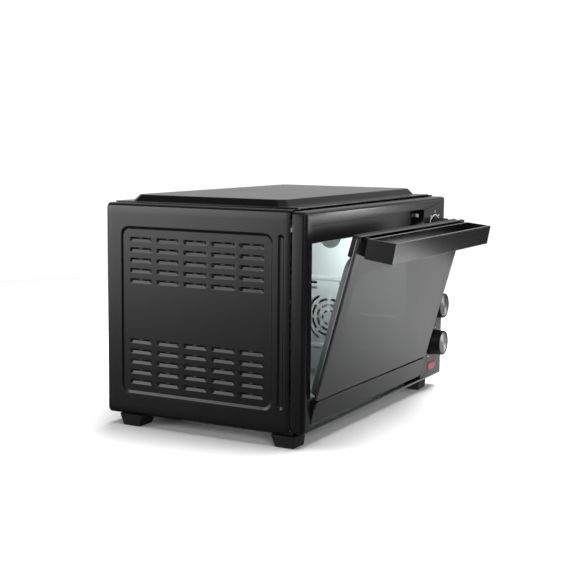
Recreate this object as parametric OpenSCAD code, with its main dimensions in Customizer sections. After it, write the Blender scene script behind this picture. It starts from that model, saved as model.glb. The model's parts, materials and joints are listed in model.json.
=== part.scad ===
/* [Body] */
// Width over the two side panels
body_w = 480; // [460:1:500]
// Height of the lid surface above the worktop
body_top = 305; // [300:1:320]
// Depth of the casing, front face to rear edge
body_d = 302.5; // [295:0.5:330]
// Underside of the casing above the worktop
body_floor = 15.5; // [12:0.5:16]
// Thickness of the sheet steel
sheet = 1.2; // [0.8:0.1:1.5]
// Radius of the folded edges of the side panels
fold_r = 6; // [4:0.5:8]

/* [Front frame] */
// Depth of the front frame, front to back
frame_d = 20; // [18:0.5:24]
// Lowest edge of the front frame
frame_bottom = 18.4; // [17:0.1:20]
// Highest edge of the front frame
frame_top = 302; // [298:0.5:303]
// Radius of the frame's front edges and corners
frame_r = 6; // [4:0.5:7]
// Left side of the door recess
recess_left = -222; // [-223:0.5:-221.8]
// Right side of the door recess
recess_right = 150.5; // [150.2:0.1:151]
// Bottom of the door recess
recess_bottom = 24.5; // [23:0.5:25]
// Top of the door recess
recess_top = 286; // [285.5:0.5:288]
// Depth of the door recess
recess_d = 14; // [14:0.5:15]

/* [Door] */
// Angle between the door and upright, as it stands ajar
door_ajar = 15.3; // [2:0.1:60]
// Width of the door
door_w = 371; // [368:0.5:371]
// Height of the door from its lower to its upper edge
door_h = 253; // [248:0.5:253]
// Height of the decorative strip along the lower edge
strip_h = 31; // [24:1:36]
// Thickness of the outer glass
glass_t = 4; // [3:0.5:4]
// Reach of the handle in front of the glass
handle_reach = 46; // [36:1:46]

/* [Controls] */
// Distance of the knobs from the centre line
knob_x = 196; // [190:1:205]
// Height of the uppermost knob
knob_top_z = 251.5; // [245:0.5:255]
// Distance from one knob down to the next
knob_pitch = 58.5; // [50:0.5:60]
// Diameter of a knob
knob_dia = 38; // [30:1:40]
// Reach of a knob in front of the panel
knob_reach = 20; // [15:0.5:24]

/* [Cavity] */
// Inner face of the left cavity wall
cavity_left = -203; // [-210:1:-200]
// Inner face of the right cavity wall
cavity_right = 135; // [130:1:140]
// Inner face of the cavity floor
cavity_floor = 20.5; // [20.5:0.5:22]
// Inner face of the cavity ceiling
cavity_top = 262; // [258:1:266]
// Inner face of the cavity's rear wall
cavity_back = 286; // [280:1:288]

/* [Louvres] */
// Columns of louvres on each side panel
louvre_columns = 5; // [3:1:5]
// Rows of louvres in each of the two groups
louvre_rows = 5; // [3:1:5]
// Length of one louvre
louvre_len = 33.6; // [26:0.2:36]

/* [Hidden] */
$fn = 48;

side_x = body_w / 2;
flange_overlap = 19;
panel_front = frame_d + 1.6;
rear_face = body_d + sheet + 0.2;

// hinge line, and the door's own depths measured from it (outward is negative)
hinge_y = 7;
hinge_z = 35.9;
glass_out = -7.8;
glass_in = glass_out + glass_t;
flange_in = glass_in + 1.6;
door_in = 6.2;
door_low = -5;
door_high = door_low + door_h;
door_mid = (recess_left + recess_right) / 2 - 0.25;
door_left = door_mid - door_w / 2;
door_right = door_mid + door_w / 2;
strip_high = door_low + strip_h;
glass_low = strip_high + 2;
tray_inset = 7;
tray_high = door_high - 32.5;
rail_low = tray_high + 2;
window_low = 46;
window_high = 192;
window_side = 36;
pin_r = 2.5;
hinge_t = 2.4;
bracket_left = -side_x + 4.5;
bracket_right = recess_right + 12;

// handle profile, outward distance and height from the hinge line
handle_left = door_left + 8;
handle_right = door_right - 10;
handle_wall = 3;
handle_out = -glass_out + handle_reach;
handle_profile = [[14, 247.2], [15.6, 221.8], [handle_out, 226.4], [handle_out - 2.3, 253.2]];
standoff_z = 235;

// the casing and everything on it is centred front to back by this shift
front_most = hinge_y - (handle_out - 2.3) * cos(door_ajar) - 253.2 * sin(door_ajar);
screw_head = 2;
row_y = -(front_most + rear_face + screw_head) / 2;

// side panel decoration
pocket = 1.2;
emboss_y = [48, 278.5];
emboss_z = [47.5, 271.7];
emboss_r = 11;
bead_y = [31.5, 37.7];
louvre_first_y = 77.15;
louvre_pitch_y = 42.95;
louvre_pitch_z = 13.98;
louvre_top_z = [256.05, 118.3];
louvre_h = 5;

// lid
lid_low = body_top - sheet + 0.5;
lid_high = lid_low + sheet;
plateau_z = body_top + 9.5;
plateau_top = [[-211, 49], [211, 275]];
plateau_foot = [[-218.5, 41], [218.5, 283]];

// fan and lamp on the right-hand cavity wall
fan_y = 150.5;
fan_z = 110;
grille_r = 40.6;
lamp_y = 150;
lamp_z = 239;
lamp_r = 18.4;
liner_t = 0.8;
wall_out = cavity_right + liner_t;
fan_back = wall_out + 26;

// controls
knob_z = [for (i = [0:3]) knob_top_z - i * knob_pitch];
shaft_r = 3;
pilot = [194, 38.3];
pilot_size = [30, 11.6];
control_depth = 16;

// feet: left pair flush with the side, right pair set in under the controls
foot_h = body_floor;
foot_x = [-239.5, 178.5];
foot_y = [14.8, 251.5];
foot_size = [31, 27.5];
foot_flare = 6;
heater_r = 3.25;
heater_z = [38, 250];
sensor_z = [212, 226];
rack_guide_z = [67, 121, 175];
heater_y = [75, 215];
heater_left = -180;
bend_r = 25;

// ---- helpers ----
module place() {
    translate([0, row_y, 0]) children();
}
module door_place() {
    place() translate([0, hinge_y, hinge_z]) rotate([door_ajar, 0, 0]) children();
}
// extrude a profile drawn in (y, z) along X
module along_x(from, to) {
    translate([from, 0, 0]) rotate([90, 0, 90]) linear_extrude(to - from) children();
}
// extrude a profile drawn in (x, z) along Y
module along_y(from, to) {
    translate([0, to, 0]) rotate([90, 0, 0]) linear_extrude(to - from) children();
}
module rect(low, high) {
    translate(low) square(high - low);
}
module round_rect(low, high, r) {
    rect([low[0] + r, low[1]], [high[0] - r, high[1]]);
    rect([low[0], low[1] + r], [high[0], high[1] - r]);
    for (x = [low[0] + r, high[0] - r], y = [low[1] + r, high[1] - r]) translate([x, y]) circle(r);
}
module box(low, high) {
    translate(low) cube(high - low);
}
module rod_x(from, to, y, z, r) {
    translate([from, y, z]) rotate([0, 90, 0]) cylinder(h = to - from, r = r);
}
module rod_y(from, to, x, z, r) {
    translate([x, to, z]) rotate([90, 0, 0]) cylinder(h = to - from, r = r);
}
module arc_band(r, w, a0, a1) {
    intersection() {
        difference() {
            circle(r + w / 2);
            circle(r - w / 2);
        }
        polygon(concat([[0, 0]], [for (i = [0:4]) let (a = a0 + (a1 - a0) * i / 4) 2 * r * [cos(a), sin(a)]]));
    }
}
// curved slot with rounded ends, centred on angle a and spanning angle s
module arc_slot(r, w, a, s) {
    steps = 4;
    arm = w / 2;
    polygon(concat(
        [for (i = [0:steps]) let (t = a - s / 2 + s * i / steps) (r + arm) * [cos(t), sin(t)]],
        [for (i = [1:3]) let (t = a + s / 2) r * [cos(t), sin(t)] + arm * [cos(t + 45 * i), sin(t + 45 * i)]],
        [for (i = [0:steps]) let (t = a + s / 2 - s * i / steps) (r - arm) * [cos(t), sin(t)]],
        [for (i = [1:3]) let (t = a - s / 2) r * [cos(t), sin(t)] + arm * [cos(t + 180 + 45 * i), sin(t + 180 + 45 * i)]]
    ));
}
module stadium(length, height) {
    square([length - height, height], center = true);
    for (s = [-1, 1]) translate([s * (length - height) / 2, 0]) circle(height / 2);
}

// ---- front frame ----
module frame_envelope(inset, front, back) {
    intersection() {
        along_y(front, back)
            round_rect([-side_x + 0.5 + inset, frame_bottom + inset],
                [side_x - 0.5 - inset, frame_top - inset], frame_r);
        linear_extrude(body_top + 10) {
            rect([-side_x + 0.5, front + frame_r], [side_x - 0.5, back]);
            rect([-side_x + 0.5 + frame_r, front], [side_x - 0.5 - frame_r, back]);
            for (s = [-1, 1]) translate([s * (side_x - 0.5 - frame_r), front + frame_r]) circle(frame_r);
        }
        along_x(-side_x, side_x) {
            rect([front + frame_r, frame_bottom], [back, frame_top]);
            rect([front, frame_bottom + frame_r], [back, frame_top - frame_r]);
            for (z = [frame_bottom + frame_r, frame_top - frame_r]) translate([front + frame_r, z]) circle(frame_r);
        }
    }
}
module front_frame() {
    wall = 3;
    color("#1c1c1e") place() difference() {
        frame_envelope(0, 0, frame_d);
        // door recess
        along_y(-1, recess_d)
            round_rect([recess_left, recess_bottom], [recess_right, recess_top], 4);
        // opening into the cavity
        along_y(recess_d - 1, frame_d + 1)
            round_rect([cavity_left + 3, 26], [cavity_right, 259], 8);
        // hollows behind the control panel, the stile and the head
        box([recess_right + wall, wall, 22], [side_x - wall - 0.5, frame_d + 1, frame_top - wall]);
        box([-side_x + wall, wall, 22], [recess_left - wall, frame_d + 1, frame_top - wall]);
        box([recess_left + 2, wall, recess_top + wall], [recess_right, frame_d + 1, frame_top - wall]);
        // shaft holes, pilot lamp window and hinge pin holes
        for (z = knob_z) rod_y(-1, wall + 1, knob_x, z, shaft_r + 1);
        along_y(-1, wall + 1) translate(pilot) stadium(pilot_size[0], pilot_size[1]);
        rod_x(-side_x + 8, recess_left + 1, hinge_y, hinge_z, pin_r + 0.5);
        rod_x(recess_right - 1, recess_right + wall + 1, hinge_y, hinge_z, pin_r + 0.5);
    }
}
module fascia_marks() {
    print_t = 0.2;
    color("white") place() along_y(-print_t, 0) {
        for (i = [0, 1]) translate([knob_x, knob_z[i]]) {
            arc_band(24, 1, 25, 155);
            translate([-0.5, 27]) square([1, 4.5]);
        }
        for (i = [0, 1], a = [54, 126]) translate([knob_x, knob_z[i]] + 28 * [cos(a), sin(a)]) circle(1.1);
        for (i = [2, 3], a = [55, 90, 125, 235, 305])
            translate([knob_x, knob_z[i]] + 25.5 * [cos(a), sin(a)]) circle(1);
    }
}
module door_bumper() {
    color("#d8d8d4") place() box([recess_right - 0.55, 8.6, 273.7], [recess_right, 13.3, 279]);
}

// ---- casing ----
module louvre_centres() {
    for (i = [0:louvre_columns - 1], top = louvre_top_z, j = [0:louvre_rows - 1])
        translate([louvre_first_y + i * louvre_pitch_y, top - j * louvre_pitch_z]) children();
}
// side -1 is the left panel, 1 the right one, whose measures across are those of the left turned round
function across(side, a, b) = side < 0 ? [a, b] : [-b, -a];
module across_x(side, a, b) {
    along_x(across(side, a, b)[0], across(side, a, b)[1]) children();
}
module side_panel(side) {
    x = -side_x;
    inner = x + pocket;
    outer_skin = across(side, x, x + 40);
    hollow = across(side, x + sheet, x + 60);
    beyond_flange = across(side, x + 24, x + 80);
    difference() {
        union() {
            // folded sheet: top flange, side, bottom flange
            along_y(panel_front, body_d) difference() {
                round_rect([outer_skin[0], body_floor], [outer_skin[1], body_top - 1], fold_r);
                round_rect([hollow[0], body_floor + sheet], [hollow[1], body_top - 1 - sheet], fold_r - sheet);
                rect([beyond_flange[0], 0], [beyond_flange[1], body_top + 10]);
            }
            // rear flange
            across_x(side, x + 0.6, x + 14) rect([body_d - sheet, body_floor + 4], [body_d, body_top - 6]);
            // floor of the pressed-in field and of the bead
            across_x(side, inner, inner + sheet)
                round_rect([emboss_y[0] - 1, emboss_z[0] - 1], [emboss_y[1] + 1, emboss_z[1] + 1], emboss_r);
            across_x(side, inner, inner + sheet) rect([bead_y[0] - 1, 49], [bead_y[1] + 1, 272]);
        }
        // pressed-in field and bead
        across_x(side, x - 1, inner)
            round_rect([emboss_y[0], emboss_z[0]], [emboss_y[1], emboss_z[1]], emboss_r);
        across_x(side, x - 1, inner) translate([(bead_y[0] + bead_y[1]) / 2, 160.8]) rotate(90) stadium(220.4, 6.2);
        // louvre openings and screw holes
        across_x(side, x - 1, inner + sheet + 1) louvre_centres() stadium(louvre_len, louvre_h);
        rear_screw_places() rod_y(-10, 1, 0, 0, 2);
    }
    // louvre blades, sloping up and inwards from the lower lip of each opening
    blade = louvre_len - louvre_h;
    for (i = [0:louvre_columns - 1], top = louvre_top_z, j = [0:louvre_rows - 1]) {
        y = louvre_first_y + i * louvre_pitch_y;
        z = top - j * louvre_pitch_z;
        along_y(y - blade / 2, y + blade / 2)
            polygon([for (p = [[0, -2.7], [1.2, -2.7], [4.4, 1.6], [3.4, 2.2]]) [-side * (inner + p[0]), z + p[1]]]);
    }
}
module side_panel_left() {
    color("#202022") place() difference() {
        side_panel(-1);
        foot_screw_places() cylinder(h = 40, r = 2.3);
    }
}
module side_panel_right() {
    color("#202022") place() side_panel(1);
}
module plateau(inset) {
    cut = 9;
    low = plateau_foot;
    high = plateau_top;
    module eight(a, b, z) {
        translate([0, 0, z]) linear_extrude(0.01) polygon([
            [a[0] + cut, a[1]], [b[0] - cut, a[1]], [b[0], a[1] + cut], [b[0], b[1] - cut],
            [b[0] - cut, b[1]], [a[0] + cut, b[1]], [a[0], b[1] - cut], [a[0], a[1] + cut]]);
    }
    shift = [inset, inset];
    hull() {
        eight(low[0] + shift, low[1] - shift, lid_low - inset);
        eight(high[0] + shift, high[1] - shift, plateau_z - inset - 0.01);
    }
}
module top_cover() {
    edge_x = side_x - flange_overlap;
    color("#28282a") place() difference() {
        union() {
            box([-edge_x, panel_front, lid_low], [edge_x, body_d, lid_high]);
            box([-edge_x + 6, body_d - sheet, body_top - 16], [edge_x - 6, body_d, lid_high]);
            plateau(0);
        }
        plateau(sheet);
        rear_screw_places() rod_y(-10, 1, 0, 0, 2);
    }
}
// rear screws, a ring around the rear cover
module rear_screw_places() {
    for (s = [-1, 1], z = [40, 160, 270]) translate([s * (side_x - 8), rear_face, z]) children();
    for (x = [-150, 0, 150]) translate([x, rear_face, body_top - 9]) children();
    for (x = [-150, 0, 150]) translate([x, rear_face, body_floor + 8]) children();
}
module rear_cover() {
    color("#202022") place() difference() {
        along_y(body_d + 0.2, rear_face)
            round_rect([-side_x + 2, body_floor + 1.5], [side_x - 2, body_top - 3], 6);
        // cooling slots behind the controls and low across the back
        along_y(body_d - 1, rear_face + 1) {
            for (i = [0:9]) translate([187, 118 + i * 13]) stadium(66, 4.5);
            for (i = [0:15], z = [46, 262]) translate([-195 + i * 21, z]) rotate(90) stadium(22, 4.5);
        }
        rod_y(body_d - 1, rear_face + 1, 196, 62, 8);
        rear_screw_places() rod_y(-10, 1, 0, 0, 2);
    }
}
module base_plate() {
    low = body_floor + sheet + 0.1;
    color("#77797c") place() difference() {
        union() {
            box([-side_x + 7, frame_d + 1, low], [side_x - 7, body_d - sheet - 0.5, low + sheet]);
            box([-side_x + 18, body_d - 2 * sheet - 0.5, low], [side_x - 18, body_d - sheet - 0.5, low + 16]);
        }
        for (i = [0:7], y = [90, 130, 170, 210]) translate([-160 + i * 40, y, 0]) linear_extrude(40) stadium(26, 4);
        foot_screw_places() translate([0, 0, 5]) cylinder(h = 40, r = 2.3);
        rear_screw_places() rod_y(-10, 1, 0, 0, 2);
    }
}
module foot_screw_places() {
    for (x = foot_x, y = foot_y) translate([x + foot_size[0] / 2, y + foot_size[1] / 2, 0]) children();
}
module feet() {
    color("#161617") place() difference() {
        for (x = foot_x, y = foot_y) {
            flare = y > 100 ? foot_flare - 1 : 0.8;
            hull() {
                linear_extrude(1) round_rect([x, y], [x, y] + foot_size, 3, $fn = 32);
                translate([0, 0, foot_h - 1]) linear_extrude(0.9)
                    round_rect([x - 0.3, y - flare], [x + foot_size[0] + 3, y + foot_size[1] + foot_flare],
                        3, $fn = 32);
            }
        }
        foot_screw_places() translate([0, 0, -1]) cylinder(h = 40, r = 2.3);
        foot_screw_places() translate([0, 0, -1]) cylinder(h = 9, r = 5);
    }
}
module foot_screws() {
    color("silver") place() foot_screw_places() {
        translate([0, 0, 5.5]) cylinder(h = 2.5, r = 3.8);
        translate([0, 0, 7.5]) cylinder(h = 13, r = 1.9);
    }
}
module cover_screws() {
    color("silver") place() rear_screw_places() difference() {
        union() {
            rod_y(0, screw_head, 0, 0, 3.6);
            rod_y(-7, 0.1, 0, 0, 1.8);
        }
        for (a = [0, 90]) rotate([0, a, 0]) box([-2, screw_head - 0.8, -0.4], [2, screw_head + 1, 0.4]);
    }
}

// ---- cavity ----
module cavity_liner() {
    l = cavity_left;
    r = cavity_right;
    t = liner_t;
    corner = 4.2;
    front = frame_d + 0.2;
    color("#c3cccb") place() {
        difference() {
            union() {
                along_y(front, cavity_back) difference() {
                    round_rect([l - t, cavity_floor - t], [r + t, cavity_top + t], corner + t);
                    round_rect([l, cavity_floor], [r, cavity_top], corner);
                }
                // turned-out rear flange
                along_y(cavity_back - t, cavity_back) difference() {
                    round_rect([l - 9, cavity_floor - t], [r + 9, cavity_top + 9], 9);
                    round_rect([l, cavity_floor], [r, cavity_top], corner);
                }
            }
            // fan opening, lamp opening and vents in the right wall
            rod_x(r - 1, r + 2, fan_y, fan_z, grille_r + 0.1);
            rod_x(r - 1, r + 2, lamp_y, lamp_z, lamp_r - 3);
            along_x(r - 1, r + 2) for (z = [156.1, 164.8]) translate([183, z]) stadium(22, 3.8);
            rod_x(r - 1, r + 2, 132.4, 165.5, 1.4);
            // heater ends
            for (y = heater_y, z = heater_z) rod_x(r - 1, r + 2, y, z, 6.1);
            // thermostat sensor leads
            for (z = sensor_z) rod_x(r - 1, r + 2, 268, z, 2);
        }
        // rack guides pressed into both side walls; the middle right one is split by the fan
        for (z = rack_guide_z) {
            guide(l, z, 30, 276);
            if (z != rack_guide_z[1]) guide(r, z, 30, 276);
        }
        guide(r, rack_guide_z[1], 30, fan_y - grille_r - 8);
        guide(r, rack_guide_z[1], fan_y + grille_r + 8, 276);
    }
}
module guide(x, z, from, to) {
    along_y(from, to) intersection() {
        translate([x, z - 3]) circle(4);
        rect([cavity_left, z - 10], [cavity_right, z + 1]);
    }
}
module cavity_rear_wall() {
    y = cavity_back;
    color("#c3cccb") place() {
        along_y(y, y + liner_t)
            round_rect([cavity_left - 9, cavity_floor - liner_t], [cavity_right + 9, cavity_top + 9], 9);
        // stiffening frame pressed forwards
        along_y(y - 2, y) difference() {
            round_rect([-170, 60], [102, 225], 20);
            round_rect([-164, 66], [96, 219], 14);
        }
    }
}
module crumb_tray() {
    low = cavity_floor + 0.1;
    color("#9fa5a5") place() difference() {
        box([cavity_left + 9, frame_d + 2, low], [cavity_right - 9, cavity_back - 4, low + 7]);
        box([cavity_left + 10, frame_d + 3, low + 0.8], [cavity_right - 10, cavity_back - 5, low + 8]);
    }
}
// one bent tubular element: two legs along X joined by a cross run at the left
module heater(z) {
    end_x = cavity_right + 16;
    y0 = heater_y[0];
    y1 = heater_y[1];
    for (y = heater_y) rod_x(heater_left + bend_r, end_x, y, z, heater_r);
    translate([heater_left, y1 - bend_r, z]) rotate([90, 0, 0]) cylinder(h = y1 - y0 - 2 * bend_r, r = heater_r);
    for (c = [[y0 + bend_r, 180], [y1 - bend_r, 90]])
        translate([heater_left + bend_r, c[0], z]) rotate([0, 0, c[1]])
            rotate_extrude(angle = 90) translate([bend_r, 0]) circle(heater_r);
    // threaded terminal at each end
    for (y = heater_y) rod_x(end_x, end_x + 9, y, z, 1.6);
}
module lower_heater() {
    color("#8b8d8c") place() heater(heater_z[0]);
}
module upper_heater() {
    color("#8b8d8c") place() heater(heater_z[1]);
}
module heater_bushes() {
    color("#e9e5da") place() for (y = heater_y, z = heater_z) difference() {
        union() {
            rod_x(cavity_right - 2, wall_out + 6, y, z, 6);
            rod_x(wall_out + 0.1, wall_out + 4, y, z, 9);
        }
        rod_x(cavity_right - 3, wall_out + 7, y, z, heater_r + 0.05);
    }
}
module fan_grille() {
    // radius, width and number of the slots in each ring, the angle of the first and the angle each one spans
    rings = [[37.4, 4, 4, 45, 30], [28.8, 4, 8, 22.5, 28], [20, 4, 8, 22.5, 24], [11, 3.4, 6, 0, 26]];
    seat = cavity_right - 0.1;
    lip = seat - 0.6;
    color("#b9c2c1") place() difference() {
        // disc in the wall, with a rolled lip lapping the cavity side
        union() {
            rod_x(lip, seat, fan_y, fan_z, grille_r + 0.8);
            rod_x(seat, wall_out, fan_y, fan_z, grille_r);
        }
        rod_x(lip - 1, seat, fan_y, fan_z, grille_r - 0.8);
        along_x(lip - 1, wall_out + 1) translate([fan_y, fan_z]) {
            for (g = rings, i = [0:g[2] - 1]) arc_slot(g[0], g[1], g[3] + i * 360 / g[2], g[4]);
        }
    }
}
module fan_housing() {
    depth = 26;
    r = 50;
    color("#a9adae") place() difference() {
        union() {
            rod_x(wall_out + 0.1, wall_out + depth, fan_y, fan_z, r);
            rod_x(wall_out + 0.1, wall_out + 1.1, fan_y, fan_z, r + 7);
        }
        rod_x(wall_out - 1, wall_out + depth - 1, fan_y, fan_z, r - 1);
        rod_x(wall_out, wall_out + depth + 1, fan_y, fan_z, 5);
    }
}
module fan_blade() {
    hub_x = wall_out + 7;
    color("#b4b8b9") place() {
        difference() {
            union() {
                rod_x(hub_x, hub_x + 12, fan_y, fan_z, 6);
                rod_x(hub_x + 9, hub_x + 10.2, fan_y, fan_z, 30);
            }
            rod_x(hub_x - 1, hub_x + 13, fan_y, fan_z, 2.52);
        }
        for (a = [0:45:315]) translate([0, fan_y, fan_z]) rotate([a, 0, 0])
            translate([hub_x + 1.5, 0, 8]) rotate([0, 0, 12]) box([0, -0.5, 0], [8.4, 0.5, 32]);
    }
}
module fan_shaft() {
    color("silver") place() rod_x(wall_out + 6, fan_back + 20, fan_y, fan_z, 2.5);
}
module fan_motor() {
    x0 = fan_back + 6;
    color("#55585c") place() difference() {
        union() {
            along_x(x0 + 2, x0 + 20) translate([fan_y, fan_z - 6]) square([46, 56], center = true);
            rod_x(x0, x0 + 30, fan_y, fan_z, 15);
        }
        rod_x(x0 - 1, x0 + 16, fan_y, fan_z, 2.55);
    }
}
module fan_bracket() {
    x0 = fan_back + 0.1;
    color("#a9adae") place() difference() {
        union() {
            box([x0, fan_y - 34, fan_z - 9], [x0 + 1.2, fan_y + 34, fan_z + 9]);
            for (s = [-1, 1]) {
                rod_x(x0 + 1.2, x0 + 7.9, fan_y + s * 18, fan_z, 3);
                rod_x(x0, x0 + 1.2, fan_y + s * 34, fan_z, 9);
            }
        }
        rod_x(x0 - 1, x0 + 3, fan_y, fan_z, 5);
    }
}
module lamp_lens() {
    color("#eef4f2", 0.5) place() {
        rod_x(cavity_right - 2.6, cavity_right - 0.1, lamp_y, lamp_z, lamp_r);
        rod_x(cavity_right - 0.2, wall_out + 2, lamp_y, lamp_z, lamp_r - 3.4);
    }
}
module lamp_housing() {
    x0 = wall_out + 0.1;
    color("#c9cccd") place() difference() {
        union() {
            rod_x(x0, x0 + 36, lamp_y, lamp_z, 19);
            rod_x(x0, x0 + 1.2, lamp_y, lamp_z, 25);
            rod_x(x0 + 36, x0 + 50, lamp_y, lamp_z, 10);
        }
        rod_x(x0 - 1, x0 + 35, lamp_y, lamp_z, 18);
        rod_x(x0 + 34, x0 + 45, lamp_y, lamp_z, 7.2);
    }
}
module lamp_bulb() {
    x0 = wall_out + 6;
    color("#fff6dc", 0.7) place() {
        rod_x(x0 + 12, x0 + 38, lamp_y, lamp_z, 7);
        translate([x0 + 14, lamp_y, lamp_z]) rotate([0, 90, 0]) sphere(11);
    }
}

// ---- controls ----
module switch_body(z, size, depth) {
    front = control_depth + 2.2;
    difference() {
        union() {
            along_y(front, front + depth) translate([knob_x, z]) round_square(size);
            rod_y(front - 7, front, knob_x, z, 5);
        }
        rod_y(front - 8, front + 8, knob_x, z, shaft_r + 0.05);
    }
    // terminals
    for (s = [-1, 1], h = [-6, 6])
        translate([knob_x + s * size[0] / 4, front + depth, z + h]) box([-3, 0, -0.4], [3, 8, 0.4]);
}
module round_square(size) {
    round_rect(-size / 2, size / 2, 4);
}
module upper_thermostat() {
    color("#b98c5a") place() switch_body(knob_z[0], [34, 34], 18);
}
module lower_thermostat() {
    color("#b98c5a") place() switch_body(knob_z[1], [34, 34], 18);
}
module function_switch() {
    color("#d9d4c8") place() switch_body(knob_z[2], [42, 42], 30);
}
module timer() {
    color("#a8acaf") place() switch_body(knob_z[3], [50, 50], 34);
}
module control_bracket() {
    front = control_depth - 0.4;
    color("#8f9396") place() difference() {
        union() {
            box([168, front, 22.1], [232, front + 1.2, frame_top - 3.1]);
            box([168, front, 44], [169.2, front + 20, 282]);
        }
        for (z = knob_z) rod_y(front - 1, front + 3, knob_x, z, 5.4);
    }
}
// a sensor bulb inside the cavity and its capillary tube back to each thermostat
module thermostat_sensors() {
    color("#b97c4c") place() for (i = [0, 1]) {
        z = sensor_z[i];
        rod_y(212, 262, cavity_right - 6, z, 2.5);
        sensor_lead(i);
    }
}
// quarter bends and straight runs of capillary, 2 mm thick
module sensor_lead(i) {
    z = sensor_z[i];
    y_out = 268;
    r = 1;
    x_far = 186 + 12 * i;
    y_near = 45;
    rod_x(cavity_right - 0.1, x_far, y_out, z, r);
    translate([cavity_right - 0.1, 262, z]) rotate([0, 0, 90])
        rotate_extrude(angle = 90) translate([6, 0]) circle(r);
    rod_y(y_near, y_out, x_far, z, r);
    translate([x_far, y_out, z]) sphere(r);
    translate([x_far, y_near, z]) sphere(r);
    end_z = knob_z[i] + (i == 0 ? -10 : 10);
    translate([x_far, y_near, min(z, end_z)]) cylinder(h = abs(z - end_z), r = r);
    translate([x_far, y_near, end_z]) sphere(r);
    rod_y(control_depth + 20.3, y_near, x_far, end_z, r);
}
module pilot_lens() {
    color("#c2213a", 0.8) place() {
        along_y(-1.2, 3.2) translate(pilot) stadium(pilot_size[0] - 0.2, pilot_size[1] - 0.2);
        along_y(3.2, 4.6) translate(pilot) stadium(pilot_size[0] + 4, pilot_size[1] + 4);
    }
}
module pilot_lamp() {
    color("#ffb27a") place() {
        rod_x(pilot[0] - 9, pilot[0] + 9, 9, pilot[1], 3);
        for (s = [-1, 1]) translate([pilot[0] + s * 9, 9, pilot[1]]) sphere(3);
    }
}
module knob(i) {
    r = knob_dia / 2;
    color("#19191a") place() translate([knob_x, 0, knob_z[i]]) rotate([90, 0, 0]) difference() {
        union() {
            translate([0, 0, 0.6]) cylinder(h = 3, r = r + 1.2);
            cylinder(h = knob_reach, r1 = r + 0.6, r2 = r);
        }
        translate([0, 0, -1]) cylinder(h = 1.6, r = r + 3);
        translate([0, 0, -1]) cylinder(h = knob_reach - 5, r = shaft_r + 0.02);
        translate([0, 0, knob_reach - 0.9]) cylinder(h = 2, r = r - 1.6);
        // pointer notch on the rim
        translate([0, r - 0.8, knob_reach]) cube([1.6, 3.2, 3], center = true);
    }
}
module knob_cap(i) {
    color("#9a9c9e") place() translate([knob_x, 0, knob_z[i]]) rotate([90, 0, 0])
        translate([0, 0, knob_reach - 0.9]) cylinder(h = 0.9, r = knob_dia / 2 - 1.7);
}
module knob_shaft(i) {
    color("#c8b070") place() rod_y(-knob_reach + 6.2, control_depth + 9.5, knob_x, knob_z[i], shaft_r);
}

// ---- door hinges ----
module hinge_bracket(x0, x1) {
    color("#a9adae") place() difference() {
        union() {
            intersection() {
                rod_x(x0, x1, hinge_y, hinge_z, 6.5);
                box([x0 - 1, 3.2, 0], [x1 + 1, 30, 100]);
            }
            box([x0, hinge_y - 3, hinge_z], [x1, frame_d + 8, hinge_z + 26]);
            box([x0, frame_d - 3, frame_bottom + 4], [x1, frame_d + 8, hinge_z + 1]);
        }
        rod_x(x0 - 1, x1 + 1, hinge_y, hinge_z, pin_r + 0.05);
    }
}
module hinge_bracket_left() {
    hinge_bracket(bracket_left, bracket_left + hinge_t);
}
module hinge_bracket_right() {
    hinge_bracket(bracket_right, bracket_right + hinge_t);
}
module hinge_pins() {
    color("silver") door_place() {
        rod_x(bracket_left + 0.4, door_left + 9, 0, 0, pin_r);
        rod_x(door_right - 9, bracket_right + hinge_t + 3, 0, 0, pin_r);
    }
}
// close-wound coils with one leg resting on the bracket
module door_springs() {
    wire = 0.55;
    coil_r = pin_r + 0.8;
    color("#707478") place() for (x = [bracket_left + hinge_t + 0.8, recess_right + 5]) {
        for (i = [0:3]) translate([x + i * 1.2, hinge_y, hinge_z]) rotate([0, 90, 0])
            rotate_extrude() translate([coil_r, 0]) circle(wire);
        translate([x, hinge_y + coil_r + 0.1, hinge_z - 1]) cylinder(h = 17, r = wire - 0.1);
    }
}

// ---- door ----
module door_glass() {
    color("#4a4d4f", 0.55) door_place() difference() {
        along_y(glass_out, glass_in) round_rect([door_left, glass_low], [door_right, door_high], 4);
        handle_fixings() rod_y(-20, 20, 0, 0, 2.4);
    }
}
module handle_fixings() {
    for (x = [handle_left + handle_wall + 6, handle_right - handle_wall - 6])
        translate([x, 0, standoff_z]) children();
}
module door_tray() {
    l = door_left + tray_inset;
    r = door_right - tray_inset;
    color("#8f9492") door_place() difference() {
        union() {
            along_y(glass_in, flange_in)
                round_rect([door_left + 2.5, glass_low], [door_right - 2.5, door_high - 2], 4);
            along_y(flange_in - 1, door_in) round_rect([l, glass_low], [r, tray_high], 14);
        }
        along_y(glass_in - 1, door_in - sheet)
            round_rect([l + sheet, glass_low + sheet], [r - sheet, tray_high - sheet], 12.8);
        along_y(-20, 20) round_rect([door_left + window_side, window_low], [door_right - window_side, window_high], 10);
        handle_fixings() rod_y(-20, 20, 0, 0, 2.4);
    }
}
module door_window() {
    back = door_in - sheet;
    color("#c9d4d2", 0.35) door_place() along_y(back - 3, back)
        round_rect([door_left + window_side - 8, window_low - 8], [door_right - window_side + 8, window_high + 8], 4);
}
module door_rail() {
    l = door_left + tray_inset;
    r = door_right - tray_inset;
    color("#262628") door_place() difference() {
        along_y(flange_in, door_in) round_rect([l, rail_low], [r, door_high - 2], 3);
        along_y(flange_in - 1, door_in - 4.2) rect([l + 22, rail_low + 2], [r - 22, door_high - 4]);
        handle_fixings() rod_y(-20, 20, 0, 0, 2.4);
        handle_fixings() rod_y(door_in - 2.6, 20, 0, 0, 4.2);
    }
}
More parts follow.
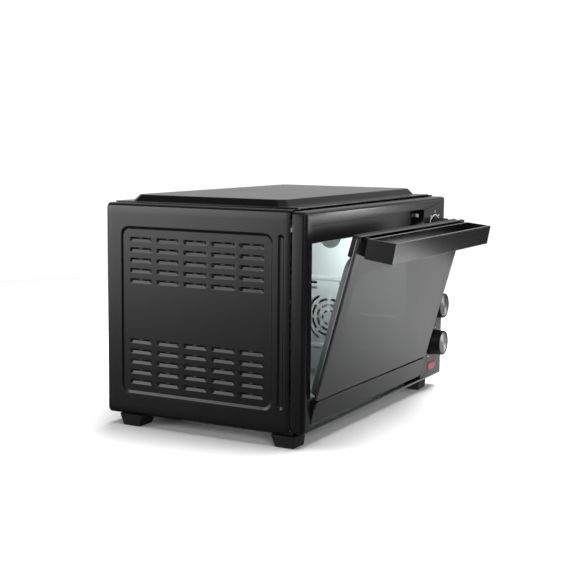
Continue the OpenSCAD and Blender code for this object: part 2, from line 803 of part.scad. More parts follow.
module door_strip() {
    ease_y = 3.4;
    ease_z = -1.6;
    color("#1b1b1d") door_place() difference() {
        intersection() {
            along_y(glass_out - 0.2, door_in) round_rect([door_left, door_low], [door_right, strip_high], 5);
            // lower inner corner cut back so that it clears the recess as the door swings
            along_x(door_left - 1, door_right + 1)
                polygon([[glass_out - 1, door_low - 1], [ease_y, door_low - 1], [ease_y, door_low],
                    [door_in, ease_z], [door_in, strip_high + 1], [glass_out - 1, strip_high + 1]]);
        }
        box([door_left + 11, glass_out + 1.8, door_low + 2], [door_right - 11, door_in - 2, strip_high + 1]);
        for (x = [door_left - 1, door_right - 9.2]) rod_x(x, x + 10.2, 0, 0, pin_r + 0.02);
    }
}
module handle_outline(from, to) {
    translate([from, 0, 0]) rotate([90, 0, 90]) linear_extrude(to - from)
        polygon([for (p = handle_profile) [-p[0], p[1]]]);
}
module handle() {
    plate = 2.6;
    color("#232325") door_place() difference() {
        handle_outline(handle_left, handle_right);
        // hollow between the end walls, open above and below
        translate([handle_left + handle_wall, 0, 0]) rotate([90, 0, 90])
            linear_extrude(handle_right - handle_left - 2 * handle_wall)
                polygon([[-(handle_out - plate), 200], [-(handle_out - plate - 4.7), 270],
                    [-16.4, 270], [-19, 200]]);
        handle_fixings() rod_y(-20, 20, 0, 0, 2.2);
    }
}
module handle_standoffs() {
    color("#111112") door_place() difference() {
        handle_fixings() along_y(glass_out - 6.2, glass_out) rotate(90) stadium(25, 12);
        handle_fixings() rod_y(-20, 20, 0, 0, 2.4);
    }
}
module handle_screws() {
    color("silver") door_place() handle_fixings() {
        rod_y(door_in - 2.4, door_in - 0.4, 0, 0, 3.8);
        rod_y(-18.5, door_in - 2.3, 0, 0, 2);
    }
}

// ---- mains connection ----
module terminal_block() {
    low = body_floor + 2 * sheet + 0.2;
    color("#e8e6df") place() difference() {
        box([176, 240, low], [216, 256, low + 22]);
        for (i = [0:2]) translate([184 + i * 12, 248, low + 14]) cylinder(h = 20, r = 3);
    }
}
module cord_gland() {
    color("#151516") place() difference() {
        union() {
            rod_y(body_d - 6, rear_face + 2, 196, 62, 7.9);
            rod_y(rear_face, rear_face + 2, 196, 62, 11);
            rod_y(body_d - 6, body_d - 2, 196, 62, 9.5);
        }
        rod_y(body_d - 10, rear_face + 10, 196, 62, 3.6);
    }
}

front_frame();
fascia_marks();
side_panel_left();
side_panel_right();
top_cover();
rear_cover();
base_plate();
feet();
foot_screws();
cover_screws();
cavity_liner();
cavity_rear_wall();
crumb_tray();
lower_heater();
upper_heater();
heater_bushes();
fan_grille();
fan_housing();
fan_motor();
fan_bracket();
fan_blade();
fan_shaft();
lamp_lens();
lamp_housing();
lamp_bulb();
upper_thermostat();
lower_thermostat();
thermostat_sensors();
function_switch();
timer();
control_bracket();
pilot_lens();
pilot_lamp();
hinge_bracket_left();
hinge_bracket_right();
door_springs();
door_bumper();
terminal_block();
cord_gland();
door_glass();
door_tray();
door_window();
door_rail();
door_strip();
handle();
handle_standoffs();
handle_screws();
hinge_pins();
knob(0);  // upper_heat_knob
knob(1);  // lower_heat_knob
knob(2);  // function_knob
knob(3);  // timer_knob
knob_cap(0);  // upper_heat_cap
knob_cap(1);  // lower_heat_cap
knob_cap(2);  // function_cap
knob_cap(3);  // timer_cap
knob_shaft(0);  // upper_heat_shaft
knob_shaft(1);  // lower_heat_shaft
knob_shaft(2);  // function_shaft
knob_shaft(3);  // timer_shaft
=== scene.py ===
import json
import math

import bmesh
import bpy
from mathutils import Matrix, Vector

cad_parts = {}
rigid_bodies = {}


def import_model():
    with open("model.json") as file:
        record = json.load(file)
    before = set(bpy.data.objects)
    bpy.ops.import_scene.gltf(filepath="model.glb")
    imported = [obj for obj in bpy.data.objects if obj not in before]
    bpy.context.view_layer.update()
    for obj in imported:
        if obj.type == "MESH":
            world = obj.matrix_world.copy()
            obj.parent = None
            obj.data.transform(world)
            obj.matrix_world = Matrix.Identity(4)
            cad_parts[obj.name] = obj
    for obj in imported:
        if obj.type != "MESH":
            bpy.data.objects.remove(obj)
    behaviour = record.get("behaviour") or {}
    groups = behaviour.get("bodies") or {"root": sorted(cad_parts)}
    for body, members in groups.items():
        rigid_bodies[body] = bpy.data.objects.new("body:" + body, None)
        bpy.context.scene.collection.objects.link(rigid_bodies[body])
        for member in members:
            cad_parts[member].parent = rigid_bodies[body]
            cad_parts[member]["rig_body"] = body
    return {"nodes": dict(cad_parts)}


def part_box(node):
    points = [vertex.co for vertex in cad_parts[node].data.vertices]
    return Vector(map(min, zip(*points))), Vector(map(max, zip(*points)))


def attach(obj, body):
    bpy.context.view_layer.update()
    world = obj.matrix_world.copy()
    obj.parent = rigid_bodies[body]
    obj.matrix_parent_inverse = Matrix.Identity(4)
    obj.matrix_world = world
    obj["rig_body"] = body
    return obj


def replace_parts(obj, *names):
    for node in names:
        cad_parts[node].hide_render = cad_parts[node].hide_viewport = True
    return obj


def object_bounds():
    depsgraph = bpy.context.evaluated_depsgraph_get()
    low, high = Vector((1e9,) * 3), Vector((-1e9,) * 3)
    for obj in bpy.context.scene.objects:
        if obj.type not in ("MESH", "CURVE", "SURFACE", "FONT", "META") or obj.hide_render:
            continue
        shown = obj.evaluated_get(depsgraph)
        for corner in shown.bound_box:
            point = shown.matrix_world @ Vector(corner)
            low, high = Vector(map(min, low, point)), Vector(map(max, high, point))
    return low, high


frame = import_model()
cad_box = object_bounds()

NODES = frame["nodes"]
SCENE = bpy.context.scene
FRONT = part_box("front_frame")[0].y  # plane of the control panel, row frame


def at(x, y, z):
    """A point in mm from the centre line, the panel's face and the worktop, as metres in the row frame."""
    return Vector((x / 1000, FRONT + y / 1000, z / 1000))


DOOR_AJAR, HINGE_Y, HINGE_Z = math.radians(15.3), 7, 35.9


def at_door(x, y, z):
    """A point in the door's own frame, in mm from the hinge line, at the rest pose."""
    c, s = math.cos(DOOR_AJAR), math.sin(DOOR_AJAR)
    return at(x, HINGE_Y + y * c - z * s, HINGE_Z + y * s + z * c)


# ---------------------------------------------------------------- camera
CAMERA_PLACE = (-1.5608, -0.7784, 0.3972)
YAW, PITCH, ROLL = 0.49605406, 0.12661540, 0.00917140  # radians: left of +x, down, and about the line of sight
LENS, SENSOR, SHIFT = 76.13, 36, (0.0073, 0.0046)


def make_camera():
    forward = Vector((math.cos(YAW) * math.cos(PITCH), math.sin(YAW) * math.cos(PITCH), -math.sin(PITCH)))
    right = Vector((math.sin(YAW), -math.cos(YAW), 0))
    up = right.cross(forward)
    rolled_right = math.cos(ROLL) * right + math.sin(ROLL) * up
    rolled_up = -math.sin(ROLL) * right + math.cos(ROLL) * up
    data = bpy.data.cameras.new("camera")
    camera = bpy.data.objects.new("camera", data)
    SCENE.collection.objects.link(camera)
    turn = Matrix((rolled_right, rolled_up, -forward)).transposed().to_4x4()
    camera.matrix_world = Matrix.Translation(CAMERA_PLACE) @ turn
    data.lens, data.sensor_width = LENS, SENSOR
    data.shift_x, data.shift_y = SHIFT
    data.clip_start, data.clip_end = 0.05, 60
    SCENE.camera = camera


# ---------------------------------------------------------------- materials
MATERIALS = {}


def coordinates(tree, kind):
    """The separate x, y and z of a texture coordinate."""
    coord = tree.nodes.new("ShaderNodeTexCoord")
    split = tree.nodes.new("ShaderNodeSeparateXYZ")
    tree.links.new(coord.outputs[kind], split.inputs["Vector"])
    return [split.outputs[axis] for axis in "XYZ"]


def compute(tree, operation, first, second=None):
    """A Math node on one value and, if there is a second, another value or a number."""
    n = tree.nodes.new("ShaderNodeMath")
    n.operation = operation
    tree.links.new(first, n.inputs[0])
    if hasattr(second, "node"):
        tree.links.new(second, n.inputs[1])
    elif second is not None:
        n.inputs[1].default_value = second
    return n.outputs["Value"]


def material(name, colour, rough, metal=0.0, grain=900, bump=0.05, depth=0.0001, spread=0.05, stretch=(1, 1, 1),
             tint=0.08, patch=14, **sockets):
    """A Principled material: a fine grain moves roughness and bump, large soft patches move the colour."""
    m = bpy.data.materials.new(name)
    m.use_nodes = True
    tree = m.node_tree
    shader = tree.nodes["Principled BSDF"]
    link = tree.links.new

    def node(kind, **settings):
        n = tree.nodes.new(kind)
        for key, value in settings.items():
            setattr(n, key, value)
        return n

    place = node("ShaderNodeTexCoord")
    mapping = node("ShaderNodeMapping")
    mapping.inputs["Scale"].default_value = stretch
    link(place.outputs["Object"], mapping.inputs["Vector"])
    fine = node("ShaderNodeTexNoise")
    fine.inputs["Scale"].default_value = grain
    fine.inputs["Detail"].default_value = 3
    link(mapping.outputs["Vector"], fine.inputs["Vector"])
    soft = node("ShaderNodeTexNoise")
    soft.inputs["Scale"].default_value = patch
    soft.inputs["Detail"].default_value = 4
    link(place.outputs["Object"], soft.inputs["Vector"])
    mix = node("ShaderNodeMix", data_type="RGBA")
    mix.inputs["A"].default_value = [c * (1 - tint) for c in colour] + [1]
    mix.inputs["B"].default_value = [min(1, c * (1 + tint)) for c in colour] + [1]
    link(soft.outputs["Fac"], mix.inputs["Factor"])
    link(mix.outputs["Result"], shader.inputs["Base Color"])
    span = node("ShaderNodeMapRange")
    span.inputs["To Min"].default_value = max(0.02, rough - spread)
    span.inputs["To Max"].default_value = rough + spread
    both = node("ShaderNodeMath", operation="MULTIPLY_ADD")
    both.inputs[1].default_value = 0.5
    link(fine.outputs["Fac"], both.inputs[0])
    half = node("ShaderNodeMath", operation="MULTIPLY")
    half.inputs[1].default_value = 0.5
    link(soft.outputs["Fac"], half.inputs[0])
    link(half.outputs["Value"], both.inputs[2])
    link(both.outputs["Value"], span.inputs["Value"])
    link(span.outputs["Result"], shader.inputs["Roughness"])
    if bump:
        relief = node("ShaderNodeBump")
        relief.inputs["Strength"].default_value = bump
        relief.inputs["Distance"].default_value = depth
        link(fine.outputs["Fac"], relief.inputs["Height"])
        link(relief.outputs["Normal"], shader.inputs["Normal"])
    shader.inputs["Metallic"].default_value = metal
    for key, value in sockets.items():
        shader.inputs[key.replace("_", " ")].default_value = value
    MATERIALS[name] = m
    return m


# painted highlight: the pale wedge on each knob face is base colour mixed in by angle, not light
PAINTED_HIGHLIGHT_ANGLE, PAINTED_HIGHLIGHT_POWER, PAINTED_HIGHLIGHT_COLOUR = math.radians(128), 9.0, (0.62, 0.62, 0.63, 1)


def spin_sheen_and_painted_highlight(m):
    """Turned metal: fine rings round the knob's axis as anisotropic sheen, and a painted highlight: the pale wedge
    that such rings throw to either side, painted into the base colour by angle round the axis.
    """
    tree = m.node_tree
    shader = tree.nodes["Principled BSDF"]
    tangent = tree.nodes.new("ShaderNodeTangent")
    tangent.direction_type, tangent.axis = "RADIAL", "Y"
    tree.links.new(tangent.outputs["Tangent"], shader.inputs["Tangent"])
    x, _, z = coordinates(tree, "Object")
    # painted highlight: a narrow pale wedge either side of the set angle, mixed into the base colour
    angle = compute(tree, "SUBTRACT", compute(tree, "ARCTAN2", z, x), PAINTED_HIGHLIGHT_ANGLE)
    painted_highlight = compute(tree, "POWER", compute(tree, "ABSOLUTE", compute(tree, "COSINE", angle)), PAINTED_HIGHLIGHT_POWER)
    mix = tree.nodes.new("ShaderNodeMix")
    mix.data_type = "RGBA"
    tree.links.new(painted_highlight, mix.inputs["Factor"])
    tree.links.new(shader.inputs["Base Color"].links[0].from_socket, mix.inputs["A"])
    mix.inputs["B"].default_value = PAINTED_HIGHLIGHT_COLOUR
    tree.links.new(mix.outputs["Result"], shader.inputs["Base Color"])


def make_materials():
    enamel = (0.004, 0.004, 0.0042)
    material("front_enamel", enamel, 0.24, grain=1400, bump=0.05, spread=0.03, Specular_IOR_Level=0.4)
    material("casing_enamel", enamel, 0.21, grain=1400, bump=0.08, Specular_IOR_Level=0.36)
    material("lid_enamel", enamel, 0.22, grain=1400, bump=0.1, Specular_IOR_Level=0.30)
    material("handle_enamel", (0.005, 0.005, 0.0052), 0.18, grain=1600, bump=0.08, Specular_IOR_Level=0.4)
    material("foot_rubber", (0.006, 0.006, 0.006), 0.62, grain=2400, bump=0.25, Specular_IOR_Level=0.2)
    material("black_plastic", (0.005, 0.005, 0.005), 0.46, grain=2000, bump=0.2, Specular_IOR_Level=0.22)
    material("white_print", (0.82, 0.82, 0.80), 0.5, grain=3000, bump=0.05)
    material("galvanised", (0.34, 0.355, 0.36), 0.42, 0.95, grain=160, bump=0.04, tint=0.18, patch=90)
    material("screw_steel", (0.62, 0.62, 0.61), 0.28, 1.0, grain=1800, bump=0.05)
    material("spring_steel", (0.30, 0.31, 0.32), 0.30, 1.0, grain=1800, bump=0.05)
    material("cavity_steel", (0.80, 0.85, 0.84), 0.42, 0.55, grain=420, bump=0.05, tint=0.05, patch=8)
    material("tray_steel", (0.62, 0.65, 0.64), 0.36, 0.9, grain=420, bump=0.05, tint=0.06)
    material("door_steel", (0.11, 0.12, 0.118), 0.50, 0.6, grain=900, bump=0.05, tint=0.06)
    material("heater_sheath", (0.20, 0.20, 0.19), 0.42, 0.8, grain=700, bump=0.1, tint=0.2, patch=60)
    material("ceramic", (0.80, 0.77, 0.70), 0.45, grain=1500, bump=0.08)
    material("phenolic", (0.22, 0.13, 0.07), 0.45, grain=500, bump=0.1, tint=0.25, patch=160)
    material("motor_steel", (0.24, 0.25, 0.26), 0.42, 0.9, grain=300, bump=0.06, stretch=(1, 1, 14))
    material("fan_aluminium", (0.74, 0.75, 0.76), 0.32, 1.0, grain=600, bump=0.05)
    material("copper", (0.72, 0.40, 0.24), 0.32, 1.0, grain=900, bump=0.05, tint=0.15, patch=70)
    material("brass", (0.72, 0.56, 0.28), 0.30, 1.0, grain=900, bump=0.05)
    spin_sheen_and_painted_highlight(material("knob_metal", (0.15, 0.15, 0.154), 0.30, 1.0, grain=2600, bump=0.08, Anisotropic=0.85))
    material("door_glass", (0.018, 0.019, 0.019), 0.035, grain=30, bump=0, spread=0.01, tint=0.03,
             IOR=1.62, Alpha=0.80)
    material("window_glass", (0.10, 0.12, 0.115), 0.04, grain=30, bump=0, spread=0.01, tint=0.02,
             IOR=1.5, Alpha=0.16)
    material("lamp_glass", (0.34, 0.37, 0.36), 0.12, grain=500, bump=0.2, spread=0.04, tint=0.03,
             Transmission_Weight=0.7, IOR=1.5)
    material("lamp_glow", (0.95, 0.88, 0.74), 0.2, grain=300, bump=0, spread=0.04, Transmission_Weight=0.5,
             Emission_Color=(1, 0.9, 0.72, 1), Emission_Strength=0.05)
    material("pilot_red", (0.30, 0.012, 0.04), 0.14, grain=700, bump=0.1, spread=0.04,
             Transmission_Weight=0.5, IOR=1.49, Emission_Color=(1, 0.14, 0.24, 1), Emission_Strength=0.05)
    material("pilot_neon", (1, 0.45, 0.4), 0.3, grain=300, bump=0, Emission_Color=(1, 0.4, 0.45, 1),
             Emission_Strength=0.8)


def dress_nodes():
    """Every CAD node takes the finish of its own slot."""
    for node in NODES.values():
        slot = node.material_slots[0].material.name.split(".")[0]
        node["slot_name"] = slot
        node.data.materials.clear()
        node.data.materials.append(MATERIALS[slot])


# ---------------------------------------------------------------- mesh helpers
def add_piece(name, mesh, node, slot=None, place=(0, 0, 0)):
    """Links a mesh as a piece on a CAD node's body, in that node's finish unless a slot is named."""
    piece = bpy.data.objects.new(name, mesh)
    SCENE.collection.objects.link(piece)
    piece.location = place
    slot = slot or NODES[node]["slot_name"]
    mesh.materials.clear()
    mesh.materials.append(MATERIALS[slot])
    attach(piece, NODES[node]["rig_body"])
    return piece


EDGE_ANGLE = math.radians(32)


def skin(name, width, segments):
    """A CAD node's own shape with rounded edges: welded, its flat faces joined, then bevelled."""
    node = NODES[name]
    bm = bmesh.new()
    bm.from_mesh(node.data)
    bmesh.ops.remove_doubles(bm, verts=bm.verts, dist=3e-6)
    bmesh.ops.dissolve_limit(bm, angle_limit=math.radians(0.5), verts=bm.verts, edges=bm.edges)
    bmesh.ops.triangulate(bm, faces=[f for f in bm.faces if len(f.verts) > 4])
    bm.verts.index_update()
    mesh = bpy.data.meshes.new(name + "_skin")
    mesh.from_pydata([v.co[:] for v in bm.verts], [], [[v.index for v in f.verts] for f in bm.faces])
    bm.free()
    mesh.shade_smooth()
    mesh.set_sharp_from_angle(angle=EDGE_ANGLE)
    piece = add_piece(name + "_skin", mesh, name)
    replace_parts(piece, name)
    bevel = piece.modifiers.new("edges", "BEVEL")
    bevel.width, bevel.segments = width, segments
    bevel.limit_method, bevel.angle_limit = "ANGLE", EDGE_ANGLE
    bevel.use_clamp_overlap = False
    bevel.miter_outer = "MITER_ARC"
    bevel.harden_normals = True


def lathe(name, profile, centre, node, axis="y"):
    """Turns a profile of (radius, mm along the axis) about a line through centre; it replaces a CAD node."""
    steps = 96
    verts, faces = [], []
    for k in range(steps):
        a = 2 * math.pi * k / steps
        for r, h in profile:
            c, s = r * math.cos(a) / 1000, r * math.sin(a) / 1000
            verts.append((c, h / 1000, s) if axis == "y" else (h / 1000, c, s))
    n = len(profile)
    for k in range(steps):
        j = (k + 1) % steps
        for i in range(n - 1):
            quad = [k * n + i, k * n + i + 1, j * n + i + 1, j * n + i]
            faces.append(quad if axis == "y" else quad[::-1])
    mesh = bpy.data.meshes.new(name)
    mesh.from_pydata(verts, [], faces)
    bm = bmesh.new()
    bm.from_mesh(mesh)
    bmesh.ops.remove_doubles(bm, verts=bm.verts, dist=1e-7)
    bmesh.ops.recalc_face_normals(bm, faces=bm.faces)
    bm.to_mesh(mesh)
    bm.free()
    mesh.shade_smooth()
    mesh.set_sharp_from_angle(angle=math.radians(40))
    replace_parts(add_piece(name, mesh, node, place=centre), node)


def ease(t):
    t = min(max(t, 0.0), 1.0)
    return t * t * (3 - 2 * t)


def rounded_box_distance(y, z, low, high, r):
    """Distance in mm outside a rectangle with rounded corners, negative inside."""
    qy = abs(y - (low[0] + high[0]) / 2) - (high[0] - low[0]) / 2 + r
    qz = abs(z - (low[1] + high[1]) / 2) - (high[1] - low[1]) / 2 + r
    return math.hypot(max(qy, 0), max(qz, 0)) + min(max(qy, qz), 0) - r


# ---------------------------------------------------------------- side panels
SIDE, FOLD, FLANGE, SHEET = 240.0, 6.0, 24.0, 1.0
PANEL_LOW, PANEL_HIGH = 15.5, 304.0
PANEL_FRONT, PANEL_REAR = 21.6, 302.5
FIELD_LOW, FIELD_HIGH, FIELD_R, FIELD_DEPTH = (48.0, 47.5), (278.5, 271.7), 11.0, 1.2
BEAD_LOW, BEAD_HIGH = (31.5, 50.6), (37.7, 271.0)
LOUVRE_Y = [77.15 + 42.95 * i for i in range(5)]
LOUVRE_Z = [top - 13.98 * j for top in (256.05, 118.3) for j in range(5)]
LOUVRE_HALF, LOUVRE_LIP, LOUVRE_END, LOUVRE_SLIT, LOUVRE_DEPTH = 17.4, 3.3, 0.5, 2.5, 1.6


def panel_depth(y, z):
    """How far the side panel's face is pressed in at a point, mm."""
    d = FIELD_DEPTH * ease(0.5 - rounded_box_distance(y, z, FIELD_LOW, FIELD_HIGH, FIELD_R) / 2.2)
    d += FIELD_DEPTH * ease(0.5 - rounded_box_distance(y, z, BEAD_LOW, BEAD_HIGH, 3.1) / 2.0)
    for yc in LOUVRE_Y:
        a = LOUVRE_HALF - abs(y - yc)
        if a > 0:
            for zc in LOUVRE_Z:
                b = z - zc
                if -LOUVRE_LIP < b < LOUVRE_END + 0.02:
                    d += LOUVRE_DEPTH * (b + LOUVRE_LIP) / (LOUVRE_LIP + LOUVRE_END) * ease(a / 3.4)
    return d


def spaced(start, stop, step):
    n = max(1, round((stop - start) / step))
    return [start + (stop - start) * i / n for i in range(n + 1)]


def side_panel(name, side):
    """A side panel as one pressed sheet: a grid that is finer over the field's edge, the bead and the louvres."""
    ys = {round(y, 2) for y in spaced(PANEL_FRONT + 1, PANEL_REAR - 1.6, 7) + spaced(29.5, 39.5, 0.8)
          + spaced(46, 60, 1.0) + spaced(266.5, 281, 1.0)}
    for yc in LOUVRE_Y:
        for a in (0, 5, 10, 13.4, 14.0, 14.6, 15.2, 15.8, 16.4, 16.9, 17.4):
            ys |= {round(yc - a, 2), round(yc + a, 2)}
    columns = [(PANEL_FRONT, 0.7), (PANEL_FRONT + 0.25, 0.25), (PANEL_FRONT + 0.6, 0.05)]
    columns += [(y, 0.0) for y in sorted(ys) if PANEL_FRONT + 0.9 < y < PANEL_REAR - 1.5]
    columns += [(PANEL_REAR - 1.4, 0.05), (PANEL_REAR - 0.8, 0.25), (PANEL_REAR - 0.3, 0.7), (PANEL_REAR, 1.5),
                (PANEL_REAR, 5.0)]
    zs = {round(z, 2) for z in spaced(PANEL_LOW + FOLD, PANEL_HIGH - FOLD, 8) + spaced(45.5, 60, 1.0)
          + spaced(259, 273.5, 1.0)}
    for zc in LOUVRE_Z:
        zs = {z for z in zs if not (-3.8 < z - zc < 3.4)}
    slit_rows = set()
    for zc in LOUVRE_Z:
        for b in (-3.7, -3.3, -3.1, -2.4, -1.4, -0.4, 0.25, LOUVRE_END, LOUVRE_SLIT, 3.0):
            zs.add(round(zc + b, 2))
        slit_rows.add(round(zc + LOUVRE_END, 2))
    # the sheet's section, from the top flange round the fold, down the side and round to the bottom flange
    fold = [(math.sin(math.radians(90 * i / 8)), math.cos(math.radians(90 * i / 8))) for i in range(1, 8)]
    turn = SIDE - FOLD
    section = [(SIDE - FLANGE, PANEL_HIGH, 0, 1), (turn, PANEL_HIGH, 0, 1)]
    section += [(turn + FOLD * s, PANEL_HIGH - FOLD + FOLD * c, s, c) for s, c in fold]
    section += [(SIDE, z, 1, 0) for z in sorted(zs, reverse=True)]
    section += [(turn + FOLD * c, PANEL_LOW + FOLD - FOLD * s, c, -s) for s, c in fold]
    section += [(turn, PANEL_LOW, 0, -1), (SIDE - FLANGE, PANEL_LOW, 0, -1)]
    verts, faces = [], []
    for y, inset in columns:
        for x, z, nx, nz in section:
            press = panel_depth(y, z) if nx == 1 else 0
            d = inset + press
            verts.append(at(side * (x - nx * d), y, z - nz * d))
    rows = len(section)
    for i in range(len(columns) - 1):
        y = (columns[i][0] + columns[i + 1][0]) / 2
        over = min(abs(y - yc) for yc in LOUVRE_Y)
        for j in range(rows - 1):
            if section[j + 1][2] == 1 and section[j + 1][1] in slit_rows and over < LOUVRE_HALF - 2.0:
                continue
            quad = [i * rows + j, i * rows + j + 1, (i + 1) * rows + j + 1, (i + 1) * rows + j]
            faces.append(quad if side > 0 else quad[::-1])
    # each ramp runs on inwards behind its slit, so that nothing is seen through it
    run_on = ((LOUVRE_END - 0.05, LOUVRE_DEPTH + 0.02), (LOUVRE_SLIT + 2.0, LOUVRE_DEPTH + 2.2))
    for yc in LOUVRE_Y:
        for zc in LOUVRE_Z:
            first = len(verts)
            for a in (-LOUVRE_HALF + 1.2, LOUVRE_HALF - 1.2):
                for b, depth in run_on:
                    verts.append(at(side * (SIDE - FIELD_DEPTH - depth), yc + a, zc + b))
            quad = [first + 1, first, first + 2, first + 3]
            faces.append(quad if side > 0 else quad[::-1])
    mesh = bpy.data.meshes.new(name + "_sheet")
    mesh.from_pydata(verts, [], faces)
    mesh.shade_smooth()
    mesh.set_sharp_from_angle(angle=math.radians(60))
    piece = add_piece(name + "_sheet", mesh, name)
    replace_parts(piece, name)
    thick = piece.modifiers.new("thickness", "SOLIDIFY")
    thick.thickness, thick.offset = SHEET / 1000, -1


# ---------------------------------------------------------------- knobs, lenses
KNOB_X, KNOB_Z, KNOB_R, KNOB_REACH = 196.0, [251.5 - 58.5 * i for i in range(4)], 19.0, 20.0
DIALS = ["upper_heat", "lower_heat", "function", "timer"]


def arc(cx, cy, r, start, stop, steps=6):
    return [(cx + r * math.cos(math.radians(start + (stop - start) * i / steps)),
             cy + r * math.sin(math.radians(start + (stop - start) * i / steps))) for i in range(steps + 1)]


def make_knob(dial, z):
    r, reach = KNOB_R, KNOB_REACH
    centre = at(KNOB_X, 0, z)
    # profile as radius and reach from the panel; reach is outward, so it is turned to -y below
    profile = [(3.1, 0.8), (r + 0.6, 0.8)]
    profile += arc(r + 0.8, 1.4, 0.5, -90, 0, 4) + arc(r + 0.9, 3.3, 0.4, 0, 90, 4)
    profile += [(r + 0.45, 3.8), (r + 0.35, 4.6), (r + 0.1, reach - 1.6)]
    profile += arc(r - 0.9, reach - 1.0, 1.0, 10, 90, 6)
    profile += arc(r - 1.3, reach - 0.35, 0.35, 90, 180, 4)
    profile += [(r - 1.65, reach - 0.95), (3.1, reach - 0.95)]
    lathe(dial + "_grip", [(a, -b) for a, b in profile], centre, dial + "_knob")
    face = reach - 0.9
    cap = [(0.0, face + 0.55), (3.0, face + 0.54), (8.0, face + 0.48), (13.0, face + 0.36)]
    cap += arc(r - 2.6, face - 0.2, 0.5, 90, 0, 4) + [(r - 2.1, face - 0.02)]
    lathe(dial + "_face", [(a, -b) for a, b in cap], centre, dial + "_cap")


def stadium_points(half_length, radius, steps=14):
    points = []
    for s in (1, -1):
        for i in range(steps + 1):
            a = math.radians(-90 + 180 * i / steps)
            points.append((s * (half_length - radius + radius * math.cos(a)), s * radius * math.sin(a)))
    return points


def bridge(rings, count):
    """Quads between rings of count points each, every ring closed on itself."""
    return [[i * count + k, i * count + (k + 1) % count, (i + 1) * count + (k + 1) % count, (i + 1) * count + k]
            for i in range(rings - 1) for k in range(count)]


PILOT_X, PILOT_Z, PILOT_HALF, PILOT_R = 194, 38.3, 14.9, 5.7


def make_pilot_lens():
    """A convex lozenge of red plastic with a rolled edge, behind the panel's window."""
    rings = [(-2.0, 3.2), (0.0, 3.2), (0.0, 0.0), (0.15, -0.55), (0.6, -0.95), (1.4, -1.15), (2.8, -1.2), (4.2, -1.2)]
    verts = []
    for inset, y in rings:
        ring = stadium_points(PILOT_HALF - inset, PILOT_R - inset)
        verts += [at(PILOT_X + px, y, PILOT_Z + pz) for px, pz in ring]
    count = len(ring)
    faces = bridge(len(rings), count)
    faces += [[(len(rings) - 1) * count + k for k in range(count)], [k for k in reversed(range(count))]]
    mesh = bpy.data.meshes.new("pilot_lens_dome")
    mesh.from_pydata(verts, [], faces)
    bm = bmesh.new()
    bm.from_mesh(mesh)
    bmesh.ops.recalc_face_normals(bm, faces=bm.faces)
    bm.to_mesh(mesh)
    bm.free()
    mesh.shade_smooth()
    mesh.set_sharp_from_angle(angle=math.radians(50))
    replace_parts(add_piece("pilot_lens_dome", mesh, "pilot_lens"), "pilot_lens")


def make_lamp_lens():
    """A pressed glass cover with a rim and concentric ribs, on the cavity's right wall."""
    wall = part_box("lamp_lens")
    centre = Vector((0, (wall[0].y + wall[1].y) / 2, (wall[0].z + wall[1].z) / 2))
    r = (wall[1].z - wall[0].z) / 2 * 1000
    inner, outer = wall[0].x * 1000, wall[1].x * 1000
    profile = [(0.0, inner + 0.5)]
    for i in range(1, 9):
        profile.append((i * (r - 4) / 8, inner + (0.9 if i % 2 else 0.3)))
    profile += [(r - 2.6, inner), (r - 1.2, inner + 0.1), (r - 0.3, inner + 0.6), (r, inner + 1.4), (r, inner + 2.4),
                (r - 3.4, inner + 2.45), (r - 3.5, outer), (0.0, outer)]
    lathe("lamp_cover", profile, centre, "lamp_lens", axis="x")


def rounded_outline(low, high, r, steps=8):
    points = []
    for cx, cz, a0 in ((high[0] - r, high[1] - r, 0), (low[0] + r, high[1] - r, 90),
                       (low[0] + r, low[1] + r, 180), (high[0] - r, low[1] + r, 270)):
        points += arc(cx, cz, r, a0, a0 + 90, steps)
    return points


def glass_border():
    """The black border fired on to the back of the door glass, wrapped round its edges, with a clear window."""
    left, right, low, high = -221.25, 149.75, 28.0, 248.0
    back, front, proud = -3.84, -7.3, 0.04  # of the glass, in the door's frame, and how far the border stands off it
    window = rounded_outline((left + 34, 44), (right - 34, 196), 12)
    edge = rounded_outline((left, low), (right, high), 4)
    wrap = rounded_outline((left - proud, low - proud), (right + proud, high + proud), 4 + proud)
    rings = [(window, back), (edge, back), (wrap, back), (wrap, front)]
    verts = [at_door(x, y, z) for ring, y in rings for x, z in ring]
    mesh = bpy.data.meshes.new("glass_border")
    mesh.from_pydata(verts, [], bridge(len(rings), len(window)))
    add_piece("glass_border", mesh, "door_glass", slot="front_enamel")


def tray_edge():
    """The bare rim of the tray's flange, a bright line just behind the black edge of the glass."""
    ring = rounded_outline((-218.8, 27.95), (147.3, 246.05), 4)
    verts = [at_door(x, y, z) for y in (-3.76, -2.16) for x, z in ring]
    mesh = bpy.data.meshes.new("tray_edge")
    mesh.from_pydata(verts, [], bridge(2, len(ring)))
    add_piece("tray_edge", mesh, "door_tray", slot="tray_steel")


# ---------------------------------------------------------------- stage
def ramp(tree, source, a, b, low, high):
    """A value eased from low at a to high at b."""
    n = tree.nodes.new("ShaderNodeMapRange")
    n.interpolation_type = "SMOOTHSTEP"
    for key, value in (("From Min", a), ("From Max", b), ("To Min", low), ("To Max", high)):
        n.inputs[key].default_value = value
    tree.links.new(source, n.inputs["Value"])
    return n.outputs["Result"]


def product(tree, *values):
    out = values[0]
    for value in values[1:]:
        out = compute(tree, "MULTIPLY", out, value)
    return out


def make_reflector():
    """A card lying in front of the oven that only reflections see: dim near it, pale further off, dark at its end."""
    m = material("reflector", (0, 0, 0), 0.8, bump=0)
    tree = m.node_tree
    shader = tree.nodes["Principled BSDF"]
    x, y, _ = coordinates(tree, "Object")
    glow = product(tree, ramp(tree, x, -0.15, 0.50, 0.40, 1.40), ramp(tree, x, 0.80, 1.04, 1.0, 0.04),
                   ramp(tree, y, -0.52, -0.36, 1.6, 0.75))
    shader.inputs["Emission Color"].default_value = (1, 1, 1, 1)
    tree.links.new(glow, shader.inputs["Emission Strength"])
    shader.inputs["Specular IOR Level"].default_value = 0
    return m


